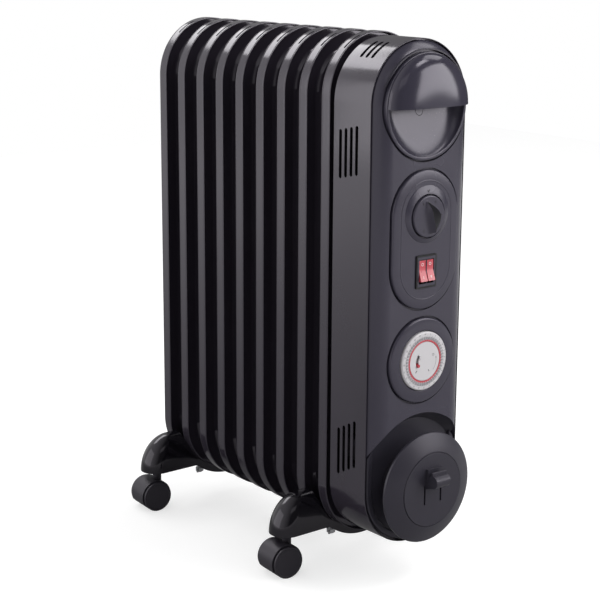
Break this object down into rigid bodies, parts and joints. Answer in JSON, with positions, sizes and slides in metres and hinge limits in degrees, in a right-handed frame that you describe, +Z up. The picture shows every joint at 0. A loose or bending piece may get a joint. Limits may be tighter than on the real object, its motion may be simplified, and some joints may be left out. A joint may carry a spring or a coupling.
{
  "type": "oil filled radiator heater",
  "caption": "Upright oil filled column radiator with a row of steel fins, front control housing with knob, switches and timer, cord spool, carrying handle and casters.",
  "frame": {"origin": "on the floor, in the middle of the overall box", "axes": "+X runs across the fins, to the right for someone facing the controls; -Y points out of the control panel; +Z is up"},
  "size_m": [0.2638, 0.4573, 0.6273],
  "materials": {
    "enamelled_steel": "gloss",
    "element_steel": "oxidised",
    "plug_brass": "satin",
    "zinc_steel": "zinc plated",
    "galvanised_steel": "satin",
    "charcoal_plastic": "semi-gloss",
    "black_gloss_plastic": "gloss",
    "black_plastic": "satin",
    "pale_plastic": "matt",
    "red_plastic": "gloss",
    "white_plastic": "gloss",
    "grey_plastic": "satin",
    "brown_sleeving": "matt",
    "caster_plastic": "satin"
  },
  "bodies": {
    "heater": {"fin_1": "enamelled_steel", "fin_2": "enamelled_steel", "fin_3": "enamelled_steel", "fin_4": "enamelled_steel", "fin_5": "enamelled_steel", "fin_6": "enamelled_steel", "fin_7": "enamelled_steel", "fin_8": "enamelled_steel", "fin_9": "enamelled_steel", "header_top": "enamelled_steel", "header_bottom": "enamelled_steel", "heating_element": "element_steel", "element_plug": "plug_brass", "filler_plug": "zinc_steel", "housing_shell": "enamelled_steel", "housing_back": "galvanised_steel", "front_cover": "charcoal_plastic", "spool_plate": "black_gloss_plastic", "spool_drum": "black_plastic", "spool_disc": "charcoal_plastic", "cord_hook": "charcoal_plastic", "cord_gland": "black_plastic", "handle_bowl": "charcoal_plastic", "handle_hood": "charcoal_plastic", "handle_screw": "charcoal_plastic", "control_plate": "charcoal_plastic", "thermostat_body": "pale_plastic", "switch_frame": "black_plastic", "switch_body": "black_plastic", "timer_bezel": "charcoal_plastic", "timer_face": "white_plastic", "timer_body": "pale_plastic", "thermal_cutout": "zinc_steel", "tip_switch": "pale_plastic", "terminal_block": "pale_plastic", "wiring_loom": "brown_sleeving", "cover_screws": "zinc_steel", "foot_front": "black_gloss_plastic", "foot_rear": "black_gloss_plastic", "ubolt_front": "zinc_steel", "ubolt_rear": "zinc_steel", "wing_nuts": "zinc_steel"},
    "knob": {"thermostat_knob": "charcoal_plastic"},
    "left_rocker": {"rocker_left": "red_plastic"},
    "right_rocker": {"rocker_right": "red_plastic"},
    "dial": {"timer_dial": "white_plastic", "timer_tappets": "grey_plastic"},
    "lever": {"timer_lever": "red_plastic"},
    "caster_fl": {"caster_fl": "caster_plastic"},
    "wheel_fl_a": {"wheel_fl_a": "caster_plastic"},
    "wheel_fl_b": {"wheel_fl_b": "caster_plastic"},
    "caster_fr": {"caster_fr": "caster_plastic"},
    "wheel_fr_a": {"wheel_fr_a": "caster_plastic"},
    "wheel_fr_b": {"wheel_fr_b": "caster_plastic"},
    "caster_rl": {"caster_rl": "caster_plastic"},
    "wheel_rl_a": {"wheel_rl_a": "caster_plastic"},
    "wheel_rl_b": {"wheel_rl_b": "caster_plastic"},
    "caster_rr": {"caster_rr": "caster_plastic"},
    "wheel_rr_a": {"wheel_rr_a": "caster_plastic"},
    "wheel_rr_b": {"wheel_rr_b": "caster_plastic"}
  },
  "joints": [
    {"name": "knob_turn", "type": "hinge", "parent": "heater", "child": "knob", "pos_m": [0, -0.19165, 0.431], "axis": [0, 1, 0], "range_deg": [-105, 165]},
    {"name": "left_rocker_tip", "type": "hinge", "parent": "heater", "child": "left_rocker", "pos_m": [-0.00565, -0.18615, 0.3693], "axis": [1, 0, 0], "range_deg": [0, 20]},
    {"name": "right_rocker_tip", "type": "hinge", "parent": "heater", "child": "right_rocker", "pos_m": [0.00565, -0.18615, 0.3693], "axis": [1, 0, 0], "range_deg": [0, 20]},
    {"name": "dial_turn", "type": "hinge", "parent": "heater", "child": "dial", "pos_m": [0, -0.18765, 0.2665], "axis": [0, 1, 0], "continuous": true},
    {"name": "lever_swing", "type": "hinge", "parent": "heater", "child": "lever", "pos_m": [0, -0.18965, 0.2665], "axis": [0, 1, 0], "range_deg": [0, 50]},
    {"name": "swivel_fl", "type": "hinge", "parent": "heater", "child": "caster_fl", "pos_m": [-0.101, -0.07165, 0.06], "axis": [0, 0, 1], "continuous": true},
    {"name": "roll_fl_a", "type": "hinge", "parent": "caster_fl", "child": "wheel_fl_a", "pos_m": [-0.10997, -0.07087, 0.0193], "axis": [0.0872, 0.9962, 0], "continuous": true},
    {"name": "roll_fl_b", "type": "hinge", "parent": "caster_fl", "child": "wheel_fl_b", "pos_m": [-0.10997, -0.07087, 0.0193], "axis": [0.0872, 0.9962, 0], "continuous": true},
    {"name": "swivel_fr", "type": "hinge", "parent": "heater", "child": "caster_fr", "pos_m": [0.101, -0.07165, 0.06], "axis": [0, 0, 1], "continuous": true},
    {"name": "roll_fr_a", "type": "hinge", "parent": "caster_fr", "child": "wheel_fr_a", "pos_m": [0.10997, -0.07087, 0.0193], "axis": [-0.0872, 0.9962, 0], "continuous": true},
    {"name": "roll_fr_b", "type": "hinge", "parent": "caster_fr", "child": "wheel_fr_b", "pos_m": [0.10997, -0.07087, 0.0193], "axis": [-0.0872, 0.9962, 0], "continuous": true},
    {"name": "swivel_rl", "type": "hinge", "parent": "heater", "child": "caster_rl", "pos_m": [-0.101, 0.20235, 0.06], "axis": [0, 0, 1], "continuous": true},
    {"name": "roll_rl_a", "type": "hinge", "parent": "caster_rl", "child": "wheel_rl_a", "pos_m": [-0.10997, 0.20313, 0.0193], "axis": [0.0872, 0.9962, 0], "continuous": true},
    {"name": "roll_rl_b", "type": "hinge", "parent": "caster_rl", "child": "wheel_rl_b", "pos_m": [-0.10997, 0.20313, 0.0193], "axis": [0.0872, 0.9962, 0], "continuous": true},
    {"name": "swivel_rr", "type": "hinge", "parent": "heater", "child": "caster_rr", "pos_m": [0.101, 0.20235, 0.06], "axis": [0, 0, 1], "continuous": true},
    {"name": "roll_rr_a", "type": "hinge", "parent": "caster_rr", "child": "wheel_rr_a", "pos_m": [0.10997, 0.20313, 0.0193], "axis": [-0.0872, 0.9962, 0], "continuous": true},
    {"name": "roll_rr_b", "type": "hinge", "parent": "caster_rr", "child": "wheel_rr_b", "pos_m": [0.10997, 0.20313, 0.0193], "axis": [-0.0872, 0.9962, 0], "continuous": true}
  ]
}
